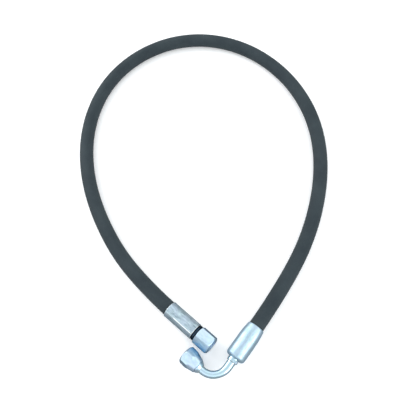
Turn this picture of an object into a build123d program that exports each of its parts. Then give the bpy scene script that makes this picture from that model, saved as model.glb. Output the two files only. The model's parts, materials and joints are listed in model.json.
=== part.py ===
"""Hydraulic hose assembly, 3/8 in bore (DN10), two wire braids, lying in one open loop.

One end has a straight fitting and the other a swept 90 degree elbow. Both end in a loose
M18 x 1.5 swivel nut, 22 mm across flats, over a 24 degree cone with an O-ring. The two nuts
lie side by side and point opposite ways.

Frame: millimetres, +Z up, the floor at z = 0, +Y from the fittings towards the top of the
loop, and the origin on the floor under the middle of the two fittings.
"""

import os
from math import cos, pi, radians, sin, tan

from build123d import *

# ---- hose: outer radius of each layer, from the bore outwards
BORE_R = 4.75
INNER_TUBE_R = 6.45
INNER_BRAID_R = 7.1
CUSHION_R = 7.7
OUTER_BRAID_R = 8.4
COVER_R = 9.75

# ---- where the fittings lie: the mouth of each ferrule, the way from it to the nut, and how
#      far the elbow turns in between
STRAIGHT_MOUTH = Vector(-54.308, 37.706, 12.4)
STRAIGHT_YAW = -41.2
ELBOW_MOUTH = Vector(52.992, 14.006, 12.4)
ELBOW_YAW = -127.1
ELBOW_TURN = 96.5

# ---- free run of the hose: how far it reaches straight out of each mouth, then the corners
#      of its route in between, from the straight fitting to the elbow
STRAIGHT_REACH = 37.0
ELBOW_REACH = 42.0
ROUTE = [
    (-135, 124, 9.75),
    (-177, 212, 9.75),
    (-191, 300, 9.75),
    (-175, 380, 9.75),
    (-134, 438, 9.75),
    (-74, 472, 9.75),
    (-8, 476, 9.75),
    (56, 451, 9.75),
    (108, 402, 9.75),
    (141, 340, 9.75),
    (154, 273, 9.75),
    (148, 200, 9.75),
    (123, 122, 9.75),
]
ARC_SHARE = 0.45

# ---- ferrules: lengths run from the mouth
STRAIGHT_FERRULE_LENGTH = 43.5
STRAIGHT_FERRULE_R = 11.2
CRIMP_R = 11.0
CRIMP_FLAT = 10.8
RIM_LENGTH = 1.6
ELBOW_FERRULE_LENGTH = 46.0
ELBOW_FERRULE_MOUTH_R = 10.9
ELBOW_FERRULE_R = 12.4
ELBOW_FERRULE_END_R = 8.3
SWELL_LENGTH = 20.0
SHOULDER_START = 41.5
LIP_LENGTH = 3.0
END_GAP = 2.0
MOUTH_FLARE = 0.35
MOUTH_FLARE_LENGTH = 3.0
GRIP_R = 9.1
TEETH_R = 8.75
FIRST_TOOTH = 7.0
TEETH_PITCH = 5.0
TEETH_COUNT = 6

# ---- hose tails of the two nipples
TAIL_START = 5.0
TAIL_LEAD_IN = 0.6
TAIL_LEAD_IN_LENGTH = 1.5
FIRST_BARB = 7.5
BARB_R = 5.15
BARB_PITCH = 6.0
BARB_RISE = 4.2
BARB_LENGTH = 4.8
BARB_COUNT = 5
TAIL_BORE_R = 3.4
STOP_R = 8.3
LOCK_R = 6.6

# ---- straight fitting beyond its ferrule
COLLAR_START = 44.6
COLLAR_END = 47.0
COLLAR_R = 10.4
COLLAR_CHAMFER = 0.4
STRAIGHT_NUT_START = 48.2
BORE_STEP_LENGTH = 1.0

# ---- elbow: the tube and the two collars it is brazed into
TUBE_R = 5.0
TUBE_BORE_R = 3.6
CORNER_DISTANCE = 82.4
BEND_R = 21.3
ELBOW_COLLAR_START = 47.0
ELBOW_COLLAR_END = 50.8
ELBOW_COLLAR_R = 6.8
ELBOW_COLLAR_FLATS = 12.4
ELBOW_COLLAR_TURN = -45.0
TAIL_SOCKET_DEPTH = 5.6
ELBOW_NUT_START = 28.85
SLEEVE_END = 0.6
SLEEVE_LENGTH = 3.6
SLEEVE_RIM_LENGTH = 0.8
SLEEVE_R = 7.6
SLEEVE_TIP_R = 5.8
SLEEVE_SOCKET_END = 2.5
BRAZE_LEG = 0.7

# ---- swivel nut and cone nose, measured from the back face of the nut
NUT_LENGTH = 22.0
NUT_FLATS = 22.0
NUT_TURN = -15.0
NUT_CHAMFER_R = 10.0
NUT_CHAMFER_LENGTH = 2.0
NUT_BACK_CHAMFER = 1.6
NUT_BACK_CHAMFER_LENGTH = 1.0
THREAD_MINOR_R = 8.188
THREAD_LENGTH = 7.5
THREAD_MOUTH_R = 9.2
THREAD_MOUTH_LENGTH = 1.0
RELIEF_R = 9.3
NUT_SHOULDER = 7.3
NUT_BORE_R = 7.27
ROUND_BACK_LENGTH = 9.0
ROUND_BACK_R = 8.9
ROUND_BACK_BELLY_R = 10.9
ROUND_BACK_CHAMFER = 0.5
HEX_RUN_IN = 0.6
HEX_RUN_OUT = 1.2
LAND_START = -1.2
LAND_R = 7.2
LAND_END = 7.0
NOSE_TIP = 12.6
NOSE_BASE_R = 7.1
CONE_HALF_ANGLE = 12.0
NOSE_BORE_R = 4.0
BORE_MOUTH_LENGTH = 0.5
O_RING_PLACE = 8.9
O_RING_SECTION_R = 0.75
O_RING_CENTRE_R = 6.4
O_RING_GROOVE_HALF = 0.9
WIRE_PLACE = 3.9
WIRE_SECTION_R = 0.8
WIRE_CENTRE_R = 7.25
WIRE_CLEARANCE = 0.05
WIRE_GAP_ANGLE = 12.0
NUT_FLOAT = 0.25

# ---- what a cut runs past the surface it cuts
PAST = 0.1


# ---- helpers

def heading(yaw):
    """Level unit vector at this angle from +X."""
    return Vector(cos(radians(yaw)), sin(radians(yaw)), 0)


def fitting_frame(origin, direction):
    """Frame on a fitting's axis: its Z runs along the fitting and its X points up."""
    return Plane(origin=origin, x_dir=(0, 0, 1), z_dir=direction).location


def turned(*outline):
    """Solid turned about Z from (radius, height) corners."""
    return revolve(Plane.XZ * Polygon(*outline, align=None), Axis.Z)


def drum(radius, start, end):
    """Plain cylinder about Z between two heights."""
    return turned((0, start), (radius, start), (radius, end), (0, end))


def ring(centre_r, section_r, height, sweep_angle=360.0):
    """Round-section ring about Z, open if it sweeps less than a full turn."""
    section = Plane.XZ * Pos(centre_r, height) * Circle(section_r)
    return revolve(section, Axis.Z, revolution_arc=sweep_angle)


def hexagon(flats, start, end):
    """Six-sided prism about Z with one flat facing NUT_TURN away from +X."""
    outline = Rot(0, 0, 30 + NUT_TURN) * RegularPolygon(flats / 2, 6, major_radius=False)
    return Pos(0, 0, start) * extrude(outline, end - start)


straight_heading = heading(STRAIGHT_YAW)
elbow_heading = heading(ELBOW_YAW)
elbow_nut_heading = heading(ELBOW_YAW - ELBOW_TURN)
elbow_corner = ELBOW_MOUTH + elbow_heading * CORNER_DISTANCE
straight_frame = fitting_frame(STRAIGHT_MOUTH, straight_heading)
elbow_frame = fitting_frame(ELBOW_MOUTH, elbow_heading)
straight_nut_frame = fitting_frame(
    STRAIGHT_MOUTH + straight_heading * STRAIGHT_NUT_START, straight_heading
)
elbow_nut_frame = fitting_frame(
    elbow_corner + elbow_nut_heading * ELBOW_NUT_START, elbow_nut_heading
)
straight_hose_end = STRAIGHT_FERRULE_LENGTH - LIP_LENGTH - END_GAP
elbow_hose_end = ELBOW_FERRULE_LENGTH - LIP_LENGTH - END_GAP


# ---- hose

def hose_path():
    """Centre line of the hose: straight runs joined by tangent arcs."""
    points = [
        STRAIGHT_MOUTH + straight_heading * straight_hose_end,
        STRAIGHT_MOUTH - straight_heading * STRAIGHT_REACH,
        *[Vector(*corner) for corner in ROUTE],
        ELBOW_MOUTH - elbow_heading * ELBOW_REACH,
        ELBOW_MOUTH + elbow_heading * elbow_hose_end,
    ]
    radii = []
    for before, corner, after in zip(points, points[1:], points[2:]):
        turn = (corner - before).get_angle(after - corner)
        shorter = min((corner - before).length, (after - corner).length)
        radii.append(ARC_SHARE * shorter / tan(radians(turn / 2)))
    print("hose bend radii:", [round(radius) for radius in radii])
    return FilletPolyline(*points, radius=radii)


def hose_layer(path, inner_r, outer_r):
    """One layer of the hose, swept along its whole length."""
    section = Plane(origin=path @ 0, z_dir=path % 0) * (Circle(outer_r) - Circle(inner_r))
    layer = sweep(section, path=path)
    expected = pi * (outer_r**2 - inner_r**2) * path.length
    print("layer volume over section x length:", round(layer.volume / expected, 4))
    return layer


# ---- ferrules

def grip_cavity(length):
    """Inside of a ferrule: flared mouth, six teeth that bite the cover, and the end lip."""
    cavity = drum(GRIP_R, -1, length - LIP_LENGTH) + drum(LOCK_R, 0, length + 1)
    cavity += turned(
        (0, -1), (COVER_R + MOUTH_FLARE, -1), (COVER_R + MOUTH_FLARE, 0),
        (GRIP_R, MOUTH_FLARE_LENGTH), (0, MOUTH_FLARE_LENGTH),
    )
    half = TEETH_PITCH / 4
    for tooth in range(TEETH_COUNT):
        middle = FIRST_TOOTH + tooth * TEETH_PITCH
        cavity -= turned(
            (GRIP_R + 1, middle - half), (GRIP_R, middle - half), (TEETH_R, middle - half / 2),
            (TEETH_R, middle + half / 2), (GRIP_R, middle + half), (GRIP_R + 1, middle + half),
        )
    return cavity


def straight_ferrule():
    """Crimped shell with eight lengthwise die flats between two round rims."""
    crimp_end = STRAIGHT_FERRULE_LENGTH - RIM_LENGTH
    octagon = RegularPolygon(CRIMP_FLAT, 8, major_radius=False)
    crimped = drum(CRIMP_R, RIM_LENGTH, crimp_end) & (
        Pos(0, 0, RIM_LENGTH) * extrude(octagon, crimp_end - RIM_LENGTH)
    )
    shell = crimped + drum(STRAIGHT_FERRULE_R, 0, RIM_LENGTH)
    shell += drum(STRAIGHT_FERRULE_R, crimp_end, STRAIGHT_FERRULE_LENGTH)
    return shell - grip_cavity(STRAIGHT_FERRULE_LENGTH)


def elbow_ferrule():
    """Smooth shell that swells from its mouth and rounds in at the elbow."""
    end = ELBOW_FERRULE_LENGTH
    outline = Polyline((0, end), (0, 0), (ELBOW_FERRULE_MOUTH_R, 0))
    outline += TangentArc(
        (ELBOW_FERRULE_R, SWELL_LENGTH), (ELBOW_FERRULE_MOUTH_R, 0), tangent=(0, -1)
    )
    outline += Line((ELBOW_FERRULE_R, SWELL_LENGTH), (ELBOW_FERRULE_R, SHOULDER_START))
    outline += TangentArc(
        (ELBOW_FERRULE_R, SHOULDER_START), (ELBOW_FERRULE_END_R, end), tangent=(0, 1)
    )
    outline += Line((ELBOW_FERRULE_END_R, end), (0, end))
    shell = revolve(Plane.XZ * make_face(outline), Axis.Z)
    return shell - grip_cavity(end)


# ---- nipples

def hose_tail(hose_end, ferrule_end):
    """Barbed tail that fills the bore, a hose stop, and the groove the ferrule locks into."""
    tail = turned(
        (0, TAIL_START), (BORE_R - TAIL_LEAD_IN, TAIL_START),
        (BORE_R, TAIL_START + TAIL_LEAD_IN_LENGTH), (BORE_R, hose_end), (0, hose_end),
    )
    for barb in range(BARB_COUNT):
        foot = FIRST_BARB + barb * BARB_PITCH
        tail += turned(
            (0, foot), (BORE_R, foot), (BARB_R, foot + BARB_RISE),
            (BARB_R, foot + BARB_LENGTH), (0, foot + BARB_LENGTH),
        )
    tail += drum(STOP_R, hose_end, hose_end + END_GAP)
    tail += drum(LOCK_R, hose_end + END_GAP, ferrule_end)
    return tail


def cone_nose():
    """Land that carries the nut, its wire groove, and the 24 degree cone with an O-ring groove."""
    tip_r = NOSE_BASE_R - (NOSE_TIP - LAND_END) * tan(radians(CONE_HALF_ANGLE))
    nose = turned(
        (0, LAND_START), (LAND_R, LAND_START), (LAND_R, LAND_END), (NOSE_BASE_R, LAND_END),
        (tip_r, NOSE_TIP), (0, NOSE_TIP),
    )
    wire_half = WIRE_SECTION_R + NUT_FLOAT + WIRE_CLEARANCE
    groove_bottom = WIRE_CENTRE_R - WIRE_SECTION_R - WIRE_CLEARANCE
    nose -= drum(LAND_R + 1, WIRE_PLACE - wire_half, WIRE_PLACE + wire_half) - drum(
        groove_bottom, WIRE_PLACE - wire_half, WIRE_PLACE + wire_half
    )
    start = O_RING_PLACE - O_RING_GROOVE_HALF
    end = O_RING_PLACE + O_RING_GROOVE_HALF
    ring_bottom = O_RING_CENTRE_R - O_RING_SECTION_R
    return nose - (drum(LAND_R + 1, start, end) - drum(ring_bottom, start, end))


def straight_nipple():
    """Tail, visible collar and cone nose, turned from one bar and drilled through."""
    nipple = hose_tail(straight_hose_end, STRAIGHT_FERRULE_LENGTH)
    nipple += drum(LAND_R, STRAIGHT_FERRULE_LENGTH, STRAIGHT_NUT_START)
    nipple += turned(
        (0, COLLAR_START), (COLLAR_R - COLLAR_CHAMFER, COLLAR_START),
        (COLLAR_R, COLLAR_START + COLLAR_CHAMFER), (COLLAR_R, COLLAR_END - COLLAR_CHAMFER),
        (COLLAR_R - COLLAR_CHAMFER, COLLAR_END), (0, COLLAR_END),
    )
    nipple += Pos(0, 0, STRAIGHT_NUT_START) * cone_nose()
    nose_tip = STRAIGHT_NUT_START + NOSE_TIP
    nipple -= drum(TAIL_BORE_R, 0, nose_tip)
    nipple -= turned(
        (0, straight_hose_end), (TAIL_BORE_R, straight_hose_end),
        (NOSE_BORE_R, straight_hose_end + BORE_STEP_LENGTH),
        (NOSE_BORE_R, nose_tip - BORE_MOUTH_LENGTH),
        (NOSE_BORE_R + BORE_MOUTH_LENGTH + PAST, nose_tip + PAST), (0, nose_tip + PAST),
    )
    return nipple


def elbow_nipple():
    """Tail with a flatted collar, and the socket the elbow tube is brazed into."""
    nipple = hose_tail(elbow_hose_end, ELBOW_FERRULE_LENGTH)
    nipple += drum(LOCK_R, ELBOW_FERRULE_LENGTH, ELBOW_COLLAR_START)
    collar_length = ELBOW_COLLAR_END - ELBOW_COLLAR_START
    flats = Pos(0, 0, ELBOW_COLLAR_START) * extrude(
        Rot(0, 0, ELBOW_COLLAR_TURN) * Rectangle(ELBOW_COLLAR_FLATS, 3 * ELBOW_COLLAR_R), collar_length
    )
    nipple += drum(ELBOW_COLLAR_R, ELBOW_COLLAR_START, ELBOW_COLLAR_END) & flats
    nipple -= drum(TAIL_BORE_R, 0, ELBOW_COLLAR_END)
    return nipple - drum(TUBE_R, ELBOW_COLLAR_END - TAIL_SOCKET_DEPTH, ELBOW_COLLAR_END + 1)


def elbow_cone():
    """Cone nose with the short tapered sleeve that the elbow tube is brazed into."""
    cone = cone_nose() + turned(
        (0, -SLEEVE_END - SLEEVE_LENGTH), (SLEEVE_TIP_R, -SLEEVE_END - SLEEVE_LENGTH),
        (SLEEVE_R, -SLEEVE_END - SLEEVE_RIM_LENGTH), (SLEEVE_R, -SLEEVE_END), (0, -SLEEVE_END),
    )
    cone -= drum(TUBE_BORE_R, -1 - SLEEVE_LENGTH, NOSE_TIP + 1)
    cone -= drum(TUBE_R, -1 - SLEEVE_LENGTH, SLEEVE_SOCKET_END)
    return cone - turned(
        (0, NOSE_TIP - BORE_MOUTH_LENGTH), (TUBE_BORE_R, NOSE_TIP - BORE_MOUTH_LENGTH),
        (TUBE_BORE_R + BORE_MOUTH_LENGTH + PAST, NOSE_TIP + PAST), (0, NOSE_TIP + PAST),
    )


def elbow_tube():
    """Seamless tube with one swept bend, a little over a right angle, between its two sockets."""
    tube_start = ELBOW_COLLAR_END - TAIL_SOCKET_DEPTH
    path = FilletPolyline(
        ELBOW_MOUTH + elbow_heading * tube_start,
        elbow_corner,
        elbow_corner + elbow_nut_heading * (ELBOW_NUT_START + SLEEVE_SOCKET_END),
        radius=BEND_R,
    )
    section = Plane(origin=path @ 0, z_dir=path % 0) * (Circle(TUBE_R) - Circle(TUBE_BORE_R))
    return sweep(section, path=path)


def braze_ring(height, toward):
    """Fillet of braze round the tube at a collar's face."""
    return turned(
        (TUBE_R, height), (TUBE_R + BRAZE_LEG, height), (TUBE_R, height + toward * BRAZE_LEG)
    )


# ---- swivel nuts

def nut_cavity():
    """Thread at its minor radius, a relief round the cone, the back bore and the wire groove."""
    thread_end = NUT_LENGTH - THREAD_MOUTH_LENGTH
    groove_half = WIRE_SECTION_R + WIRE_CLEARANCE
    cavity = drum(NUT_BORE_R, -1, NUT_LENGTH)
    cavity += drum(
        WIRE_CENTRE_R + groove_half, WIRE_PLACE - groove_half, WIRE_PLACE + groove_half
    )
    cavity += drum(RELIEF_R, NUT_SHOULDER, thread_end - THREAD_LENGTH)
    cavity += drum(THREAD_MINOR_R, NUT_SHOULDER, NUT_LENGTH)
    return cavity + turned(
        (0, thread_end), (THREAD_MINOR_R, thread_end), (THREAD_MOUTH_R, NUT_LENGTH),
        (THREAD_MOUTH_R, NUT_LENGTH + 1), (0, NUT_LENGTH + 1),
    )


def straight_nut():
    """Full-length hexagon, chamfered at both ends."""
    corner_r = NUT_FLATS / 2 / cos(radians(30)) + PAST
    envelope = turned(
        (0, 0), (corner_r - NUT_BACK_CHAMFER, 0), (corner_r, NUT_BACK_CHAMFER_LENGTH),
        (corner_r, NUT_LENGTH - NUT_CHAMFER_LENGTH), (NUT_CHAMFER_R, NUT_LENGTH), (0, NUT_LENGTH),
    )
    return (hexagon(NUT_FLATS, 0, NUT_LENGTH) & envelope) - nut_cavity()


def elbow_nut():
    """Hexagon over the open half, and a round back that narrows towards the elbow."""
    corner_r = NUT_FLATS / 2 / cos(radians(30)) + PAST
    hex_start = ROUND_BACK_LENGTH
    envelope = turned(
        (0, hex_start - HEX_RUN_IN), (ROUND_BACK_BELLY_R - HEX_RUN_IN, hex_start - HEX_RUN_IN),
        (corner_r, hex_start + HEX_RUN_OUT),
        (corner_r, NUT_LENGTH - NUT_CHAMFER_LENGTH), (NUT_CHAMFER_R, NUT_LENGTH), (0, NUT_LENGTH),
    )
    back = turned(
        (0, 0), (ROUND_BACK_R - ROUND_BACK_CHAMFER, 0), (ROUND_BACK_R, ROUND_BACK_CHAMFER),
        (ROUND_BACK_BELLY_R, hex_start - 1), (ROUND_BACK_BELLY_R, hex_start + 1),
        (0, hex_start + 1),
    )
    prism = hexagon(NUT_FLATS, hex_start - HEX_RUN_IN, NUT_LENGTH) & envelope
    return prism + back - nut_cavity()


def retaining_wire():
    """Round wire that holds the nut on the nose, open by the gap it was fed in through."""
    return ring(WIRE_CENTRE_R, WIRE_SECTION_R, WIRE_PLACE, 360 - WIRE_GAP_ANGLE)


def o_ring():
    """Seal in the groove of the cone."""
    return ring(O_RING_CENTRE_R, O_RING_SECTION_R, O_RING_PLACE)


# ---- assembly

def build():
    """Every piece in its place, by node name."""
    path = hose_path()
    print("hose length:", round(path.length, 1))
    pieces = {
        "straight_ferrule": straight_frame * straight_ferrule(),
        "straight_nipple": straight_frame * straight_nipple(),
        "straight_o_ring": straight_nut_frame * o_ring(),
        "straight_retaining_wire": straight_nut_frame * retaining_wire(),
        "straight_nut": straight_nut_frame * straight_nut(),
        "elbow_ferrule": elbow_frame * elbow_ferrule(),
        "elbow_nipple": elbow_frame * elbow_nipple(),
        "elbow_tube": elbow_tube(),
        "elbow_cone": elbow_nut_frame * elbow_cone(),
        "elbow_tail_braze": elbow_frame * braze_ring(ELBOW_COLLAR_END, 1),
        "elbow_cone_braze": elbow_nut_frame * braze_ring(-SLEEVE_END - SLEEVE_LENGTH, -1),
        "elbow_o_ring": elbow_nut_frame * o_ring(),
        "elbow_retaining_wire": elbow_nut_frame * retaining_wire(),
        "elbow_nut": elbow_nut_frame * elbow_nut(),
        "hose_inner_braid": hose_layer(path, INNER_TUBE_R, INNER_BRAID_R),
        "hose_cushion_layer": hose_layer(path, INNER_BRAID_R, CUSHION_R),
        "hose_outer_braid": hose_layer(path, CUSHION_R, OUTER_BRAID_R),
    }
    pieces["hose_inner_tube"] = (
        hose_layer(path, BORE_R, INNER_TUBE_R)
        - pieces["straight_nipple"] - pieces["elbow_nipple"]
    )
    pieces["hose_cover"] = (
        hose_layer(path, OUTER_BRAID_R, COVER_R)
        - pieces["straight_ferrule"] - pieces["elbow_ferrule"]
    )
    return pieces


os.makedirs("parts", exist_ok=True)
for node, shape in build().items():
    export_step(shape, f"parts/{node}.step")
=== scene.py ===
"""Looks of the hydraulic hose assembly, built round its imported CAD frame.

The hose, both ferrules, the elbow tube and both swivel nuts are detailed meshes that stand
for their CAD nodes. The nipples, cone, brazes, seals and wires keep their CAD shape and get a
material. Lengths in this file are millimetres unless a comment says otherwise, and the mesh
builders turn them into Blender's metres.
"""

import json
import math

import bmesh
import bpy
import numpy as np
from mathutils import Matrix, Vector


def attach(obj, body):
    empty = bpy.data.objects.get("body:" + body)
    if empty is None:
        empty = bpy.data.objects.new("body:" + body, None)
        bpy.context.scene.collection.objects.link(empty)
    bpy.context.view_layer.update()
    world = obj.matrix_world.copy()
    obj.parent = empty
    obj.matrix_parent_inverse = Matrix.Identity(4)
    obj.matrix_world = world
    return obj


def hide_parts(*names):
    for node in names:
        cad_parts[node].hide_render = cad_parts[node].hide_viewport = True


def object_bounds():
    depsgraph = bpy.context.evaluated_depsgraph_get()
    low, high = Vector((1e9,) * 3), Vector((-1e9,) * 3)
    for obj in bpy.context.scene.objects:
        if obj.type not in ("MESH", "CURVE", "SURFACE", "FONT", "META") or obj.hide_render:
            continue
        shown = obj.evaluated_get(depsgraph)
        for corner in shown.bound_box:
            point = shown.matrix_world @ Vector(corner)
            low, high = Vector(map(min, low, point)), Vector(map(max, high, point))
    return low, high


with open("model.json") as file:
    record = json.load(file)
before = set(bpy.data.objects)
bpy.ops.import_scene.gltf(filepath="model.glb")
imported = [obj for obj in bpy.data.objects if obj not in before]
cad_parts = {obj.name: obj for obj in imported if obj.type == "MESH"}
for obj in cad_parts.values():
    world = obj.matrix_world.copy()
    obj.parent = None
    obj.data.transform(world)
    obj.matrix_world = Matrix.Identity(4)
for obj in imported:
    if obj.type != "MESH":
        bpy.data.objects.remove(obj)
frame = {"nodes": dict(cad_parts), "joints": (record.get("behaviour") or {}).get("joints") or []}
cad_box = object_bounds()

MM = 0.001
UP = Vector((0, 0, 1))
WELD_DISTANCE = 0.0001

# ---- hose
HOSE_DIAMETER = 19.5
STRAIGHT_REACH = 37.0
ELBOW_REACH = 42.0
ROUTE = [
    (-135, 124, 9.75),
    (-177, 212, 9.75),
    (-191, 300, 9.75),
    (-175, 380, 9.75),
    (-134, 438, 9.75),
    (-74, 472, 9.75),
    (-8, 476, 9.75),
    (56, 451, 9.75),
    (108, 402, 9.75),
    (141, 340, 9.75),
    (154, 273, 9.75),
    (148, 200, 9.75),
    (123, 122, 9.75),
]
HOSE_END_INSIDE = 12.0
SQUEEZED_R = 9.0
SQUEEZE_LENGTH = 3.0
BULGE = 0.12
BULGE_LENGTH = 7.0
WRAP_PITCH = 46.0
WRAP_STEP = 0.05
HOSE_COLUMNS = 72
SPAN_STEPS = 28

# ---- straight ferrule, from its mouth
STRAIGHT_FERRULE_LENGTH = 43.5
RIM_R = 10.95
RIM_LENGTH = 0.9
CRIMP_R = 10.85
CRIMP_FLATNESS = 0.14
RIDGES = 8
RIDGE_TURN = math.radians(-13)
RIDGE_HEIGHTS = (0.1, 0.7, 0.1, 0.25, 0.15, 0.3, 0.12, 0.2)
RIDGE_HALF_WIDTH = 0.7
RIDGE_START = 12.0
RIDGE_RUN_IN = 3.0
FACE_LIFT = 0.08
FACE_RUN_IN = 1.2
FERRULE_FILLET = 0.35
STRAIGHT_FERRULE_COLUMNS = 320

# ---- elbow ferrule, from its mouth
ELBOW_FERRULE_LENGTH = 46.0
ELBOW_MOUTH_R = 10.9
ELBOW_BELLY_R = 12.4
ELBOW_END_R = 8.3
SWELL_LENGTH = 20.0
SHOULDER_START = 41.5
SOFT_FACET = 0.1
ELBOW_RIM = 0.35
ELBOW_FERRULE_COLUMNS = 160

# ---- elbow tube: half widths by share of its length, seen from above
TUBE_R = 5.0
TUBE_BORE_R = 3.6
BEND_R = 21.3
TUBE_START = 45.4
TUBE_END = 2.3
TUBE_HALF_WIDTHS = ((0, 5.0), (0.1, 5.35), (0.2, 5.3), (0.45, 4.6), (0.85, 4.6), (1, 4.9))
TUBE_COLUMNS = 48
TUBE_STRAIGHT_ROWS = 12
TUBE_BEND_ROWS = 49
TUBE_NOSE_ROWS = 8

# ---- inside of both ferrules, and where the outside begins
MOUTH_INNER_R = 10.0
GRIP_R = 9.1
MOUTH_FLARE_LENGTH = 3.0
LIP_R = 6.62
LIP_LENGTH = 3.0
OUTER_SKIN_R = 9.5
INSIDE_ROWS = 4.0

# ---- swivel nuts, from the back face
NUT_LENGTH = 22.0
NUT_FLATS = 22.0
NUT_TURN = math.radians(-15)
CORNER_R = 12.56
FRONT_CHAMFER_R = 10.0
FRONT_CHAMFER_LENGTH = 2.0
BACK_CHAMFER_R = 11.1
BACK_CHAMFER_LENGTH = 1.0
ROUND_BACK_R = 8.9
ROUND_BACK_BELLY_R = 10.9
ROUND_BACK_LENGTH = 9.0
HEX_RUN_OUT = 2.6
EDGE_SOFTNESS = 0.4
NUT_BORE_R = 7.27
NUT_SHOULDER = 7.3
RELIEF_R = 9.3
THREAD_START = 13.5
THREAD_MINOR_R = 8.188
THREAD_MAJOR_R = 9.0
THREAD_MOUTH_R = 9.2
PITCH = 1.5
SECTOR_COLUMNS = 26
NUT_FILLET = 0.4
WIRE_PLACE = 3.9
STRAIGHT_NUT_START = 48.2
ELBOW_NUT_START = 28.85
CORNER_DISTANCE = 82.4
ELBOW_TURN = math.radians(96.5)

# ---- finishes: noise in cells per metre, relief in millimetres
CLOUD_SCALE = 95
PATCH_SCALE = 330
BLOTCH_SCALE = 900
STREAK_SCALE = 1500
GRAIN_SCALE = 5200
GRAIN_RELIEF = 0.012
BLOTCH_RELIEF = 0.02
EDGE_TONE = 0.12
EDGE_TINT = (0.8, 0.95, 1.1)
# Dark tone of painted shade laid over a gap between two parts.
GAP_SHADE_TONE = (0.03, 0.05, 0.075)
BAND_EDGE = 0.2
# Painted shade on a fitting's lower faces: how far its edge is turned about the axis, and its
# strength.
SHADE_TILT = math.radians(10)
LOWER_SHADE = 0.2
# Soft edge of the painted shade and highlight bands, and the near-white tone of the painted
# highlight.
PAINTED_EDGE = 0.5
HIGHLIGHT_TONE = (0.88, 0.95, 0.98)
# Painted shade and reflection on the side of a nut that faces the other nut: its tone, strength and
# uneven edge.
SHADE_BLUE = (0.08, 0.3, 0.5)
SHADE_BLUE_SHARE = 0.9
BLUE_DRIFT = 0.0015
CLOTH_THREADS = 96
CLOTH_RELIEF = 0.02
RUBBER_GRAIN = 0.05

# ---- camera, floor and lights, in metres and degrees
CAMERA_PLACE = Vector((0.04387, -0.10314, 0.63219))
CAMERA_TILT = 24.463
CAMERA_LEAN = 4.378
LENS = 42.83
FLOOR_SIZE = 40.0
FLOOR_GLOW = 0.15
SOFTBOX_SIZE = (1.0, 0.7)
KEY_PLACE = Vector((-1.2, 0.8, 0.8))
FILL_PLACE = Vector((1.2, -1.1, 0.8))
KEY_POWER = 11
FILL_POWER = 10
STUDIO_STRENGTH = 1.25
SURROUND_LEVELS = (
    (0, 0.42), (0.06, 0.22), (0.2, 0.3), (0.36, 1.1), (0.62, 1.25), (0.85, 0.9), (1, 0.75),
)


# ---- where the fittings are

def fitting_frame(origin, along):
    """Frame on a fitting's axis: its Z runs along the fitting and its X points up."""
    side = along.cross(UP)
    columns = (UP, side, along, origin)
    return Matrix([[column[row] for column in columns] for row in range(3)] + [[0, 0, 0, 1]])


def nut_frame(joint_name):
    """Frame of a swivel nut, from its joint: origin in the back face, Z out of the open end."""
    joint = next(j for j in frame["joints"] if j["name"] == joint_name)
    along = Vector(joint["axis"]).normalized()
    return fitting_frame(Vector(joint["pos_m"]) - along * WIRE_PLACE * MM, along)


def moved(base, distance):
    """The same frame, further along its own axis."""
    return base @ Matrix.Translation((0, 0, distance * MM))


straight_nut_frame = nut_frame("straight_nut_spin")
elbow_nut_frame = nut_frame("elbow_nut_spin")
straight_frame = moved(straight_nut_frame, -STRAIGHT_NUT_START)
elbow_nut_along = elbow_nut_frame.col[2].to_3d()
elbow_along = Matrix.Rotation(ELBOW_TURN, 3, "Z") @ elbow_nut_along
elbow_corner = moved(elbow_nut_frame, -ELBOW_NUT_START).translation
elbow_frame = moved(fitting_frame(elbow_corner, elbow_along), -CORNER_DISTANCE)


# ---- meshes

def smooth_mesh(name, points, quads, caps=()):
    """Object with smooth faces from points in millimetres."""
    mesh = bpy.data.meshes.new(name)
    mesh.from_pydata((np.asarray(points) * MM).tolist(), [], [*quads, *caps])
    mesh.polygons.foreach_set("use_smooth", [True] * len(mesh.polygons))
    mesh.validate()
    piece = bpy.data.objects.new(name, mesh)
    bpy.context.scene.collection.objects.link(piece)
    return piece


def weld(mesh):
    """Joins points that lie on each other, so that no face is left without an area."""
    grid = bmesh.new()
    grid.from_mesh(mesh)
    bmesh.ops.remove_doubles(grid, verts=grid.verts, dist=WELD_DISTANCE * MM)
    grid.to_mesh(mesh)
    grid.free()


def grid_quads(rows, columns, close_rows):
    """Faces of a grid that closes round its columns, and round its rows if asked."""
    quads = []
    for row in range(rows if close_rows else rows - 1):
        above = (row + 1) % rows
        for column in range(columns):
            beside = (column + 1) % columns
            quads.append((
                row * columns + column, row * columns + beside,
                above * columns + beside, above * columns + column,
            ))
    return quads


def filleted(corners, fillet, steps=4):
    """Closed outline with each corner rounded by a short curve of about this radius."""
    outline = []
    count = len(corners)
    for index, corner in enumerate(corners):
        here = np.array(corner, float)
        before = np.array(corners[index - 1], float) - here
        after = np.array(corners[(index + 1) % count], float) - here
        reach = [min(fillet, np.linalg.norm(way) / 2.5) for way in (before, after)]
        start = here + before / np.linalg.norm(before) * reach[0]
        end = here + after / np.linalg.norm(after) * reach[1]
        for share in np.linspace(0, 1, steps):
            outline.append((1 - share)**2 * start + 2 * share * (1 - share) * here + share**2 * end)
    return outline


def refined(outline, step_at):
    """Closed outline with points added where step_at(radius, height) asks for shorter steps."""
    points = []
    for here, there in zip(outline, [*outline[1:], outline[0]]):
        middle = (here + there) / 2
        pieces = max(1, math.ceil(np.linalg.norm(there - here) / step_at(*middle)))
        points += [here + (there - here) * share for share in np.arange(pieces) / pieces]
    return np.array(points)


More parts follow.
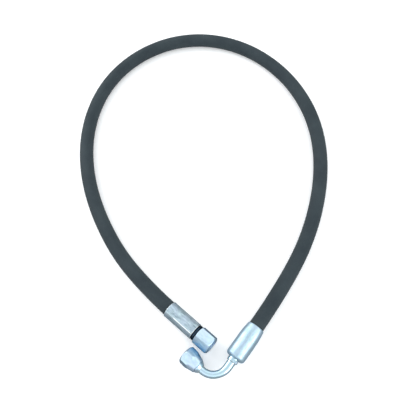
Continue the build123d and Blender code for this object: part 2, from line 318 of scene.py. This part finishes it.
def turned_piece(name, outline, angles, shape, place):
    """Closed ring-shaped piece: an outline turned about Z, its radius then changed by shape."""
    radius, height = outline[:, :1], outline[:, 1:]
    radius = shape(radius, height, angles[None, :])
    points = np.stack([
        radius * np.cos(angles), radius * np.sin(angles), np.broadcast_to(height, radius.shape)
    ], axis=-1)
    piece = smooth_mesh(name, points.reshape(-1, 3), grid_quads(*radius.shape, True))
    weld(piece.data)
    piece.matrix_world = place
    return piece


def softer_min(a, b, softness):
    """The lower of two radii, with their edge rounded."""
    return (a + b - np.sqrt((a - b)**2 + softness**2)) / 2


def even_angles(count):
    """Angles of an evenly divided turn."""
    return np.arange(count) / count * 2 * math.pi


# ---- hose

def route_curve():
    """Centre line of the hose as points along one smooth NURBS curve, in metres."""
    straight_along = straight_frame.col[2].to_3d()
    corners = [
        straight_frame.translation + straight_along * HOSE_END_INSIDE * MM,
        straight_frame.translation - straight_along * STRAIGHT_REACH * MM,
        *[Vector(corner) * MM for corner in ROUTE],
        elbow_frame.translation - elbow_along * ELBOW_REACH * MM,
        elbow_frame.translation + elbow_along * HOSE_END_INSIDE * MM,
    ]
    curve = bpy.data.curves.new("hose_route", "CURVE")
    curve.dimensions = "3D"
    curve.resolution_u = SPAN_STEPS
    spline = curve.splines.new("NURBS")
    spline.points.add(len(corners) - 1)
    for point, corner in zip(spline.points, corners):
        point.co = (*corner, 1)
    spline.order_u = 3
    spline.use_endpoint_u = True
    route = bpy.data.objects.new("hose_route", curve)
    mesh = bpy.data.meshes.new_from_object(route)
    line = np.array([vertex.co for vertex in mesh.vertices])
    bpy.data.objects.remove(route)
    return line


def hose_radius(from_mouth):
    """Radius by distance outside the nearer ferrule: squeezed in it and swollen just before it."""
    share = np.clip(-from_mouth / SQUEEZE_LENGTH, 0, 1)
    squeezed = HOSE_DIAMETER / 2 + (SQUEEZED_R - HOSE_DIAMETER / 2) * share
    return squeezed + BULGE * np.exp(-(from_mouth / BULGE_LENGTH)**2) * (from_mouth > 0)


def make_hose(line):
    """Hose cover as a tube round the route, with the faint spiral step of its cloth wrap."""
    steps = np.linalg.norm(np.diff(line, axis=0), axis=1) / MM
    along = np.concatenate([[0], np.cumsum(steps)])
    tangent = np.gradient(line, along, axis=0)
    tangent /= np.linalg.norm(tangent, axis=1)[:, None]
    side = np.cross(np.array(UP), tangent)
    side /= np.linalg.norm(side, axis=1)[:, None]
    top = np.cross(tangent, side)
    from_mouth = np.minimum(along, along[-1] - along) - HOSE_END_INSIDE
    angles = even_angles(HOSE_COLUMNS)
    turn = (along[:, None] / WRAP_PITCH + angles[None, :] / (2 * math.pi)) % 1
    wrap = WRAP_STEP * (turn - 0.5) * (from_mouth[:, None] > 0)
    radius = hose_radius(from_mouth)[:, None] + wrap
    points = line[:, None, :] / MM + radius[..., None] * (
        np.cos(angles)[None, :, None] * side[:, None, :]
        + np.sin(angles)[None, :, None] * top[:, None, :]
    )
    rows, columns = radius.shape
    caps = [tuple(range(columns))[::-1], tuple(range((rows - 1) * columns, rows * columns))]
    quads = grid_quads(rows, columns, False)
    hose = smooth_mesh("hose", points.reshape(-1, 3), quads, caps)
    give_hose_uvs(hose.data, along, columns)
    return hose


def give_hose_uvs(mesh, along, columns):
    """UV map in turns: V round the hose, and U along it on the same scale."""
    turn_length = math.pi * HOSE_DIAMETER
    loops = np.zeros(len(mesh.loops), int)
    mesh.loops.foreach_get("vertex_index", loops)
    uv = np.stack([along[loops // columns] / turn_length, (loops % columns) / columns], axis=1)
    for polygon in mesh.polygons:
        if polygon.loop_total == 4:
            ring = uv[polygon.loop_start:polygon.loop_start + 4]
            if np.ptp(ring[:, 1]) > 0.5:
                ring[ring[:, 1] < 0.5, 1] += 1
    layer = mesh.uv_layers.new(name="UVMap")
    layer.data.foreach_set("uv", uv.astype(np.float32).ravel())


# ---- ferrules

def ferrule_inside(length):
    """Inner corners of a ferrule, from its nut end back to its mouth."""
    return [
        (LIP_R, length), (LIP_R, length - LIP_LENGTH), (GRIP_R, length - LIP_LENGTH),
        (GRIP_R, MOUTH_FLARE_LENGTH), (MOUTH_INNER_R, 0),
    ]


def make_straight_ferrule():
    """Crimped shell: eight die faces with a narrow ridge between each pair, and two rims."""
    length = STRAIGHT_FERRULE_LENGTH
    corners = [
        (RIM_R, 0), (RIM_R, RIM_LENGTH), (CRIMP_R, RIM_LENGTH + 0.5),
        (CRIMP_R, length - RIM_LENGTH - 0.5), (RIM_R, length - RIM_LENGTH), (RIM_R, length),
        *ferrule_inside(length),
    ]
    outline = refined(filleted(corners, FERRULE_FILLET),
                      lambda r, z: 1.2 if r > OUTER_SKIN_R else INSIDE_ROWS)
    heights = np.array(RIDGE_HEIGHTS)

    def shape(radius, height, angle):
        turn = (angle - RIDGE_TURN) / (2 * math.pi) * RIDGES
        nearest = np.round(turn).astype(int)
        off = np.abs(turn - nearest)
        arc = off * 2 * math.pi / RIDGES * CRIMP_R
        flat = -CRIMP_FLATNESS * (1 - (1 - 2 * off)**2)
        grown = 0.2 + 0.8 * np.clip((height - RIDGE_START) / RIDGE_RUN_IN, 0, 1)
        ridge = heights[nearest % RIDGES] * grown / (1 + (arc / RIDGE_HALF_WIDTH)**6)
        from_rim = np.minimum(height - RIM_LENGTH, length - RIM_LENGTH - height)
        crimped = np.clip(from_rim / FACE_RUN_IN, 0, 1) * (radius > GRIP_R + 0.8)
        return radius + (ridge + flat + FACE_LIFT) * crimped

    angles = even_angles(STRAIGHT_FERRULE_COLUMNS)
    return turned_piece("crimped_ferrule_straight", outline, angles, shape, straight_frame)


def make_elbow_ferrule():
    """Smooth shell that swells from the mouth and rounds in at the elbow, with soft die marks."""
    length = ELBOW_FERRULE_LENGTH
    swell = [
        (ELBOW_BELLY_R - (ELBOW_BELLY_R - ELBOW_MOUTH_R) * (1 - share)**2, share * SWELL_LENGTH)
        for share in np.linspace(0.05, 1, 14)
    ]
    shoulder_length = length - SHOULDER_START
    shoulder = [
        (ELBOW_END_R + (ELBOW_BELLY_R - ELBOW_END_R) * math.sqrt(max(0.0, 1 - share**2.3)),
         SHOULDER_START + shoulder_length * share)
        for share in np.sin(np.linspace(0, math.pi / 2, 16))
    ]
    rim = [(ELBOW_MOUTH_R - ELBOW_RIM, 0), (ELBOW_MOUTH_R, ELBOW_RIM)]
    corners = [np.array(point) for point in [*rim, *swell, *shoulder, *ferrule_inside(length)[1:]]]
    corners.insert(-4, np.array((LIP_R, length)))
    outline = refined(corners, lambda r, z: 1.5 if r > OUTER_SKIN_R else INSIDE_ROWS)

    def shape(radius, height, angle):
        fade = np.clip((height - 1) / 6, 0, 1) * np.clip((length - 5 - height) / 8, 0, 1)
        waves = np.cos(RIDGES * angle + 0.4) + 0.35 * np.cos(5 * angle + height * 0.05)
        return radius + SOFT_FACET * waves * fade * (radius > GRIP_R + 1.2)

    angles = even_angles(ELBOW_FERRULE_COLUMNS)
    return turned_piece("crimped_ferrule_elbow", outline, angles, shape, elbow_frame)


# ---- elbow tube

def tube_line():
    """Centre line of the elbow tube with its heading at each point: one bend, straight ends."""
    reach = BEND_R * math.tan(ELBOW_TURN / 2)
    bend_start = CORNER_DISTANCE - reach
    inward = elbow_along.cross(UP)
    bend_centre = elbow_frame.translation + (elbow_along * bend_start + inward * BEND_R) * MM
    places = [
        (elbow_frame.translation + elbow_along * height * MM, elbow_along)
        for height in np.linspace(TUBE_START, bend_start - 1, TUBE_STRAIGHT_ROWS)
    ]
    for turn in np.linspace(0, ELBOW_TURN, TUBE_BEND_ROWS):
        outward = elbow_along * math.sin(turn) - inward * math.cos(turn)
        heading = elbow_along * math.cos(turn) + inward * math.sin(turn)
        places.append((bend_centre + outward * BEND_R * MM, heading))
    for height in np.linspace(reach + 1, ELBOW_NUT_START + TUBE_END, TUBE_NOSE_ROWS):
        places.append((elbow_corner + elbow_nut_along * height * MM, elbow_nut_along))
    return places


def make_elbow_tube():
    """Tube narrowed by its bend, and a little wider where it leaves the collar."""
    places = tube_line()
    shares, half_widths = zip(*TUBE_HALF_WIDTHS)

    def ring(row, radius):
        centre, heading = places[row]
        width = radius + np.interp(row / (len(places) - 1), shares, half_widths) - TUBE_R
        side = heading.cross(UP)
        return [
            centre / MM + side * width * math.cos(angle) + UP * radius * math.sin(angle)
            for angle in even_angles(TUBE_COLUMNS)
        ]

    rows = range(len(places))
    bore = [ring(row, TUBE_BORE_R) for row in rows]
    skin = [ring(row, TUBE_R) for row in reversed(rows)]
    quads = grid_quads(2 * len(places), TUBE_COLUMNS, True)
    return smooth_mesh("elbow_tube_swept", np.array(bore + skin).reshape(-1, 3), quads)


# ---- swivel nuts

def hexagon_angles():
    """Angles round a nut's hexagon, closer together towards its corners."""
    spread = 30 * np.sin(np.linspace(-math.pi / 2, math.pi / 2, SECTOR_COLUMNS, endpoint=False))
    return NUT_TURN + np.radians(np.concatenate([spread + 60 * sector for sector in range(6)]))


def nut_shape(radius, height, angle):
    """Hexagon flats outside and a right-hand M18 x 1.5 thread inside."""
    sector = (angle - NUT_TURN + math.pi / 6) % (math.pi / 3) - math.pi / 6
    flats = NUT_FLATS / 2 / np.cos(sector)
    outside = softer_min(radius, flats, EDGE_SOFTNESS)
    phase = (height / PITCH - angle / (2 * math.pi)) % 1
    depth = np.clip(np.abs(phase - 0.5) * 4 - 0.5, 0, 1)
    thread = THREAD_MINOR_R + (THREAD_MAJOR_R - THREAD_MINOR_R) * (1 - depth)
    threaded = (height >= THREAD_START) & (radius < RELIEF_R - 0.01)
    inside = np.where(threaded, np.maximum(radius, thread), radius)
    return np.where(radius > RELIEF_R + 0.3, outside, inside)


def nut_inside():
    """Inner corners of a nut, from its open end back to its back face."""
    return [
        (THREAD_MOUTH_R, NUT_LENGTH), (THREAD_MINOR_R, NUT_LENGTH - 1),
        (THREAD_MINOR_R, THREAD_START), (RELIEF_R, THREAD_START), (RELIEF_R, NUT_SHOULDER),
        (NUT_BORE_R, NUT_SHOULDER), (NUT_BORE_R, 0),
    ]


def nut_step(radius, height):
    """Row spacing: fine over the chamfers and the thread, coarse along the flats."""
    if radius < RELIEF_R:
        return PITCH / 14 if height > THREAD_START else 1.5
    if height > NUT_LENGTH - FRONT_CHAMFER_LENGTH - 0.6:
        return 0.12
    return 0.25 if height < ROUND_BACK_LENGTH + HEX_RUN_OUT + 1 else 1.5


def make_nut(name, back, place):
    """Swivel nut: back is its outer outline up to where the full hexagon starts."""
    front = NUT_LENGTH - FRONT_CHAMFER_LENGTH
    corners = [*back, (CORNER_R, front), (FRONT_CHAMFER_R, NUT_LENGTH), *nut_inside()]
    outline = refined(filleted(corners, NUT_FILLET), nut_step)
    return turned_piece(name, outline, hexagon_angles(), nut_shape, place)


def make_straight_nut():
    """Nut that is a hexagon over its full length."""
    back = [(BACK_CHAMFER_R, 0), (CORNER_R, BACK_CHAMFER_LENGTH)]
    return make_nut("swivel_nut_straight", back, straight_nut_frame)


def make_elbow_nut():
    """Nut with a round back that widens into the hexagon over arcs."""
    back = [
        (ROUND_BACK_R - 0.5, 0), (ROUND_BACK_R, 0.5),
        (ROUND_BACK_BELLY_R, ROUND_BACK_LENGTH - 1), (CORNER_R, ROUND_BACK_LENGTH + HEX_RUN_OUT),
    ]
    return make_nut("swivel_nut_elbow", back, elbow_nut_frame)


# ---- materials

def add(tree, kind, inputs=None, **settings):
    """Adds a node, sets it up, and gives each named input a value or another node's output."""
    node = tree.nodes.new(kind)
    for key, value in settings.items():
        setattr(node, key, value)
    for key, value in (inputs or {}).items():
        if isinstance(value, bpy.types.NodeSocket):
            tree.links.new(value, node.inputs[key])
        else:
            node.inputs[key].default_value = value
    return node


def new_material(name, **constants):
    """Material with an empty Principled shader whose constant sockets are set."""
    material = bpy.data.materials.new(name)
    material.use_nodes = True
    tree = material.node_tree
    tree.nodes.clear()
    shader = add(tree, "ShaderNodeBsdfPrincipled", constants)
    add(tree, "ShaderNodeOutputMaterial", {"Surface": shader.outputs[0]})
    return material, tree, shader


def noise(tree, place, scale, detail=4.0, roughness=0.55):
    """Noise value at this many cells per metre."""
    inputs = {"Vector": place, "Scale": scale, "Detail": detail, "Roughness": roughness}
    return add(tree, "ShaderNodeTexNoise", inputs).outputs["Fac"]


def ranged(tree, value, low, high, from_low=0.3, from_high=0.7):
    """Value moved from one range to another, and held to its ends."""
    inputs = {
        "Value": value, "From Min": from_low, "From Max": from_high, "To Min": low, "To Max": high,
    }
    return add(tree, "ShaderNodeMapRange", inputs).outputs[0]


def mixed(tree, share, first, second):
    """Colour between two colours, each a colour or another node's output."""
    node = add(tree, "ShaderNodeMix", {0: share}, data_type="RGBA")
    for index, value in ((6, first), (7, second)):
        if isinstance(value, bpy.types.NodeSocket):
            tree.links.new(value, node.inputs[index])
        else:
            node.inputs[index].default_value = (*value, 1)
    return node.outputs[2]


def product(tree, first, second, operation="MULTIPLY"):
    """Two values multiplied, or put together by another operation."""
    return add(tree, "ShaderNodeMath", {0: first, 1: second}, operation=operation).outputs[0]


def along_fitting(tree, place, stretch):
    """Coordinates in a fitting's frame, the same half squeezed along its axis, and fully so."""
    own = add(tree, "ShaderNodeTexCoord").outputs["Object"]
    back = place.inverted()
    turned = add(tree, "ShaderNodeMapping", {
        "Vector": own, "Rotation": back.to_euler(), "Location": back.to_translation(),
    })
    squeezed = [
        add(tree, "ShaderNodeMapping", {"Vector": turned.outputs[0], "Scale": (1, 1, share)})
        for share in (math.sqrt(stretch), stretch)
    ]
    return turned.outputs[0], *[node.outputs[0] for node in squeezed]


def band(tree, place, start, end):
    """Share that is one between two heights, in millimetres, along a fitting's axis."""
    height = add(tree, "ShaderNodeSeparateXYZ", {"Vector": place}).outputs["Z"]
    above = ranged(tree, height, 0, 1, (start - BAND_EDGE) * MM, start * MM)
    below = ranged(tree, height, 1, 0, end * MM, (end + BAND_EDGE) * MM)
    return product(tree, above, below)


def zinc(name, light, dark, rough, mottle, lines, stretch=0.06, place=None, gap_shade=None,
         shaded_below=None, highlight_from=None, rims=(), shade_between_nuts=None, edge=EDGE_TONE):
    """Clear blue zinc plating: cloudy, duller and darker in patches, with fine tool marks.

    Light and dark are its two tones, rough its range of roughness, mottle the share of the
    dark tone, lines the height of the marks, gap_shade a stretch along the axis painted with a
    dark tone as the shade in a gap between parts, and shaded_below the height over the fitting's
    axis under which its faces carry painted shade. From the radius highlight_from outwards, and
    at these rims, a near-white painted highlight lies on the plating. Shade_between_nuts is
    painted shade and reflection in deep blue on one side of a nut, between two distances,
    and edge how bright the plating is where it is seen at a grazing angle.
    """
    grazing = (*[edge * tone for tone in EDGE_TINT], 1)
    material, tree, shader = new_material(name, **{"Metallic": 1.0, "Specular Tint": grazing})
    plain, half_drawn, drawn = along_fitting(tree, place or Matrix.Identity(4), stretch)
    patches = noise(tree, half_drawn, PATCH_SCALE, 6, 0.65)
    blotches = noise(tree, half_drawn, BLOTCH_SCALE, 4)
    streaks = noise(tree, drawn, STREAK_SCALE, 3)
    grain = noise(tree, plain, GRAIN_SCALE, 2)
    shade = product(tree, patches, product(tree, blotches, 0.5), "ADD")
    base = mixed(tree, ranged(tree, shade, 0, mottle, 0.62, 0.9), light, dark)
    lavender = (light[0], light[1] * 0.93, light[2] * 1.03)
    clouds = ranged(tree, noise(tree, plain, CLOUD_SCALE, 2), 0, 0.8, 0.42, 0.6)
    base = mixed(tree, product(tree, clouds, 1 - mottle * 0.5), base, lavender)
    worn = ranged(tree, streaks, 0, 0.25, 0.55, 0.75)
    base = mixed(tree, worn, base, dark)
    # Painted shade: faces under a height over the axis, tilted a little about it, are mixed towards
    # the dark tone.
    if shaded_below:
        tilted = add(tree, "ShaderNodeMapping", {"Vector": plain, "Rotation": (0, 0, SHADE_TILT)})
        height = add(tree, "ShaderNodeSeparateXYZ", {"Vector": tilted.outputs[0]}).outputs["X"]
        low, high = (shaded_below - PAINTED_EDGE) * MM, (shaded_below + PAINTED_EDGE) * MM
        base = mixed(tree, ranged(tree, height, LOWER_SHADE, 0, low, high), base, dark)
    # Painted shade: a stretch along the axis, in a gap between parts, is given a near-black blue.
    if gap_shade:
        base = mixed(tree, band(tree, plain, *gap_shade), base, GAP_SHADE_TONE)
    roughness = ranged(tree, product(tree, patches, product(tree, grain, 0.5), "ADD"),
                       rough[0], rough[1], 0.5, 1.0)
    # Painted shade and reflection: one side of a nut, between two distances, is mixed towards deep
    # blue.
    if shade_between_nuts:
        side = add(tree, "ShaderNodeSeparateXYZ", {"Vector": plain}).outputs["Y"]
        uneven = product(tree, side, ranged(tree, blotches, -BLUE_DRIFT, BLUE_DRIFT), "ADD")
        low, high = shade_between_nuts[0] * MM, shade_between_nuts[1] * MM
        base = mixed(tree, ranged(tree, uneven, 0, SHADE_BLUE_SHARE, low, high), base, SHADE_BLUE)
    # Painted highlight: a near-white tone from a radius outwards and at given rims, with lower
    # roughness there.
    if highlight_from:
        across = add(tree, "ShaderNodeMapping", {"Vector": plain, "Scale": (1, 1, 0)})
        radius = add(tree, "ShaderNodeVectorMath", {0: across.outputs[0]}, operation="LENGTH")
        low, high = highlight_from * MM, (highlight_from + PAINTED_EDGE / 2) * MM
        highlighted = ranged(tree, radius.outputs["Value"], 0, 1, low, high)
        for start, end in rims:
            highlighted = product(tree, highlighted, band(tree, plain, start, end), "MAXIMUM")
        base = mixed(tree, highlighted, base, HIGHLIGHT_TONE)
        roughness = product(tree, roughness, ranged(tree, highlighted, 1, 0.7, 0, 1))
    tree.links.new(base, shader.inputs["Base Color"])
    tree.links.new(roughness, shader.inputs["Roughness"])
    marks = product(tree, streaks, lines)
    relief = product(tree, marks, product(tree, grain, GRAIN_RELIEF), "ADD")
    relief = product(tree, relief, product(tree, blotches, BLOTCH_RELIEF), "ADD")
    bump = add(tree, "ShaderNodeBump", {"Strength": 0.8, "Distance": MM, "Height": relief})
    tree.links.new(bump.outputs[0], shader.inputs["Normal"])
    return material


def hose_rubber():
    """Matt black-grey rubber with the fine print of the cloth it was cured in."""
    material, tree, shader = new_material("hose_cover_rubber")
    shader.inputs["Specular IOR Level"].default_value = 0.2
    shader.inputs["Sheen Weight"].default_value = 0.03
    shader.inputs["Sheen Roughness"].default_value = 0.6
    uv = add(tree, "ShaderNodeTexCoord").outputs["UV"]
    parts = add(tree, "ShaderNodeSeparateXYZ", {"Vector": uv}).outputs
    place = add(tree, "ShaderNodeTexCoord").outputs["Object"]
    patches = noise(tree, place, 38, 4)
    dust = noise(tree, place, 420, 4)
    grain = noise(tree, place, 3600, 2)
    base = mixed(tree, ranged(tree, patches, 0, 1), (0.019, 0.029, 0.036), (0.030, 0.043, 0.050))
    base = mixed(tree, ranged(tree, dust, 0, 0.35, 0.52, 0.75), base, (0.050, 0.064, 0.071))
    tree.links.new(base, shader.inputs["Base Color"])
    rough = ranged(tree, dust, 0.62, 0.8)
    tree.links.new(rough, shader.inputs["Roughness"])
    threads = 2 * math.pi * CLOTH_THREADS
    warp = add(tree, "ShaderNodeMath", {0: product(tree, parts[0], threads)}, operation="SINE")
    weft = add(tree, "ShaderNodeMath", {0: product(tree, parts[1], threads)}, operation="SINE")
    weave = product(tree, warp.outputs[0], weft.outputs[0])
    cloth = product(tree, weave, CLOTH_RELIEF)
    relief = product(tree, cloth, product(tree, grain, RUBBER_GRAIN), "ADD")
    bump = add(tree, "ShaderNodeBump", {"Strength": 0.7, "Distance": MM, "Height": relief})
    tree.links.new(bump.outputs[0], shader.inputs["Normal"])
    return material


def plain_finish(name, light, dark, metallic, rough, scale=900):
    """Finish of a small piece: two tones, uneven gloss and a fine grain."""
    material, tree, shader = new_material(name, Metallic=metallic)
    place = add(tree, "ShaderNodeTexCoord").outputs["Object"]
    patches = noise(tree, place, scale, 4)
    tree.links.new(mixed(tree, ranged(tree, patches, 0, 1), light, dark),
                   shader.inputs["Base Color"])
    tree.links.new(ranged(tree, patches, *rough), shader.inputs["Roughness"])
    grain = product(tree, noise(tree, place, scale * 6, 2), 0.02)
    bump = add(tree, "ShaderNodeBump", {"Strength": 0.6, "Distance": MM, "Height": grain})
    tree.links.new(bump.outputs[0], shader.inputs["Normal"])
    return material


def dress(piece, material):
    """Gives a piece, or a CAD node by name, one material."""
    mesh = (frame["nodes"][piece] if isinstance(piece, str) else piece).data
    mesh.materials.clear()
    mesh.materials.append(material)


# ---- the assembly

def add_piece(piece, body, slot, material, *nodes):
    """Puts a new piece in the assembly in place of these CAD nodes."""
    dress(piece, material)
    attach(piece, body)
    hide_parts(*nodes)


def make_pieces():
    """Every detailed piece, on its body and with its finish."""
    line = route_curve()
    hose = make_hose(line)
    add_piece(hose, "root", "cover_rubber", hose_rubber(),
              "hose_cover", "hose_outer_braid", "hose_cushion_layer", "hose_inner_braid",
              "hose_inner_tube")
    add_piece(make_straight_ferrule(), "root", "plated_ferrule",
              zinc("crimped_zinc", light=(0.53, 0.67, 0.72), dark=(0.2, 0.27, 0.33),
                   # Painted shade on the faces under 7 mm over the axis.
                   rough=(0.4, 0.6), mottle=0.8, lines=0.05, shaded_below=7.0,
                   # Painted highlight on the ridge crests and on both rims.
                   highlight_from=11.0, rims=((-0.3, 0.35), (43.1, 43.8))),
              "straight_ferrule")
    add_piece(make_elbow_ferrule(), "root", "plated_ferrule",
              zinc("swelled_zinc", light=(0.5, 0.67, 0.74), dark=(0.24, 0.36, 0.5),
                   rough=(0.4, 0.52), mottle=0.6, lines=0.03, edge=0.6),
              "elbow_ferrule")
    add_piece(make_elbow_tube(), "root", "plated_fitting",
              zinc("tube_zinc", light=(0.55, 0.75, 0.84), dark=(0.32, 0.46, 0.56),
                   rough=(0.24, 0.36), mottle=0.35, lines=0.015, stretch=1.0),
              "elbow_tube")
    nut_zinc = zinc("nut_zinc", light=(0.61, 0.79, 0.91), dark=(0.34, 0.48, 0.6),
                    # Painted shade and reflection on the side of each nut that faces the other nut.
                    rough=(0.3, 0.46), mottle=0.55, lines=0.015, shade_between_nuts=(6.0, 12.5))
    add_piece(make_straight_nut(), "straight_swivel", "plated_nut", nut_zinc, "straight_nut")
    add_piece(make_elbow_nut(), "elbow_swivel", "plated_nut", nut_zinc, "elbow_nut")


def dress_cad_nodes():
    """Materials of the CAD nodes that stay."""
    # Painted shade over the straight nipple's collar, in the gap between the ferrule and the nut.
    collar = (STRAIGHT_FERRULE_LENGTH, STRAIGHT_NUT_START)
    for node, place, gap_shade in (
        ("straight_nipple", straight_frame, collar), ("elbow_nipple", elbow_frame, None),
        ("elbow_cone", elbow_nut_frame, None),
    ):
        dress(node, zinc(f"{node}_zinc", light=(0.53, 0.72, 0.82), dark=(0.32, 0.44, 0.54),
                         rough=(0.24, 0.36), mottle=0.3, lines=0.015, stretch=1.0, place=place,
                         gap_shade=gap_shade))
    braze = plain_finish("braze", (0.6, 0.68, 0.7), (0.4, 0.46, 0.48), 1.0, (0.3, 0.5))
    wire = plain_finish("spring_wire", (0.5, 0.52, 0.55), (0.3, 0.31, 0.33), 1.0, (0.25, 0.45))
    seal = plain_finish("seal_rubber", (0.012, 0.012, 0.013), (0.03, 0.03, 0.032), 0.0, (0.4, 0.6))
    for node, material in (
        ("elbow_tail_braze", braze), ("elbow_cone_braze", braze),
        ("straight_retaining_wire", wire), ("elbow_retaining_wire", wire),
        ("straight_o_ring", seal), ("elbow_o_ring", seal),
    ):
        dress(node, material)


# ---- stage

def make_floor():
    """Plain pale floor, lit a little from within like a light table."""
    half = FLOOR_SIZE / 2 / MM
    points = [(-half, -half, 0), (half, -half, 0), (half, half, 0), (-half, half, 0)]
    floor = smooth_mesh("floor", points, [(0, 1, 2, 3)])
    material, tree, shader = new_material("pale_floor", **{
        "Roughness": 0.9, "Emission Color": (1, 1, 1, 1), "Emission Strength": FLOOR_GLOW,
    })
    place = add(tree, "ShaderNodeTexCoord").outputs["Object"]
    tone = mixed(tree, noise(tree, place, 3, 2), (0.93, 0.935, 0.94), (0.95, 0.953, 0.957))
    tree.links.new(tone, shader.inputs["Base Color"])
    dress(floor, material)
    floor.visible_glossy = False


def make_world():
    """Soft studio surround: dim at the horizon, bright higher up, a little dimmer overhead.

    Behind the floor the camera sees plain pale paper instead.
    """
    world = bpy.data.worlds.new("studio")
    bpy.context.scene.world = world
    world.use_nodes = True
    tree = world.node_tree
    tree.nodes.clear()
    way = add(tree, "ShaderNodeTexCoord").outputs["Generated"]
    height = add(tree, "ShaderNodeSeparateXYZ", {"Vector": way}).outputs["Z"]
    ramp = add(tree, "ShaderNodeValToRGB", {"Fac": height})
    elements = ramp.color_ramp.elements
    while len(elements) < len(SURROUND_LEVELS):
        elements.new(0.5)
    for element, (place, level) in zip(elements, SURROUND_LEVELS):
        element.position = place
        element.color = (level * 0.97, level * 0.99, level, 1)
    studio = add(tree, "ShaderNodeBackground", {
        "Color": ramp.outputs[0], "Strength": STUDIO_STRENGTH,
    })
    paper = add(tree, "ShaderNodeBackground", {"Color": (0.93, 0.94, 0.95, 1), "Strength": 1.0})
    seen = add(tree, "ShaderNodeLightPath").outputs["Is Camera Ray"]
    shown = add(tree, "ShaderNodeMixShader", {0: seen, 1: studio.outputs[0], 2: paper.outputs[0]})
    add(tree, "ShaderNodeOutputWorld", {"Surface": shown.outputs[0]})


def make_light(name, place, aim, power, colour):
    """Softbox, in metres and watts."""
    data = bpy.data.lights.new(name, "AREA")
    data.shape = "RECTANGLE"
    data.size, data.size_y = SOFTBOX_SIZE
    data.energy = power
    data.color = colour
    light = bpy.data.objects.new(name, data)
    light.location = place
    light.rotation_euler = (Vector(aim) - Vector(place)).to_track_quat("-Z", "Y").to_euler()
    bpy.context.scene.collection.objects.link(light)


def make_stage():
    """Floor, lights and surround."""
    make_floor()
    make_world()
    centre = (cad_box[0] + cad_box[1]) / 2
    centre.z = 0
    make_light("key", centre + KEY_PLACE, centre, KEY_POWER, (0.98, 0.98, 1))
    make_light("fill", centre + FILL_PLACE, centre, FILL_POWER, (0.94, 0.99, 1))


def make_camera():
    """Camera above the fittings, leaning back towards the loop."""
    data = bpy.data.cameras.new("camera")
    data.lens = LENS
    data.sensor_width = 36
    camera = bpy.data.objects.new("camera", data)
    camera.location = CAMERA_PLACE
    camera.rotation_euler = (math.radians(CAMERA_TILT), math.radians(CAMERA_LEAN), 0)
    bpy.context.scene.collection.objects.link(camera)
    bpy.context.scene.camera = camera


make_camera()
make_pieces()
dress_cad_nodes()
make_stage()
bpy.context.scene.view_settings.view_transform = "Standard"
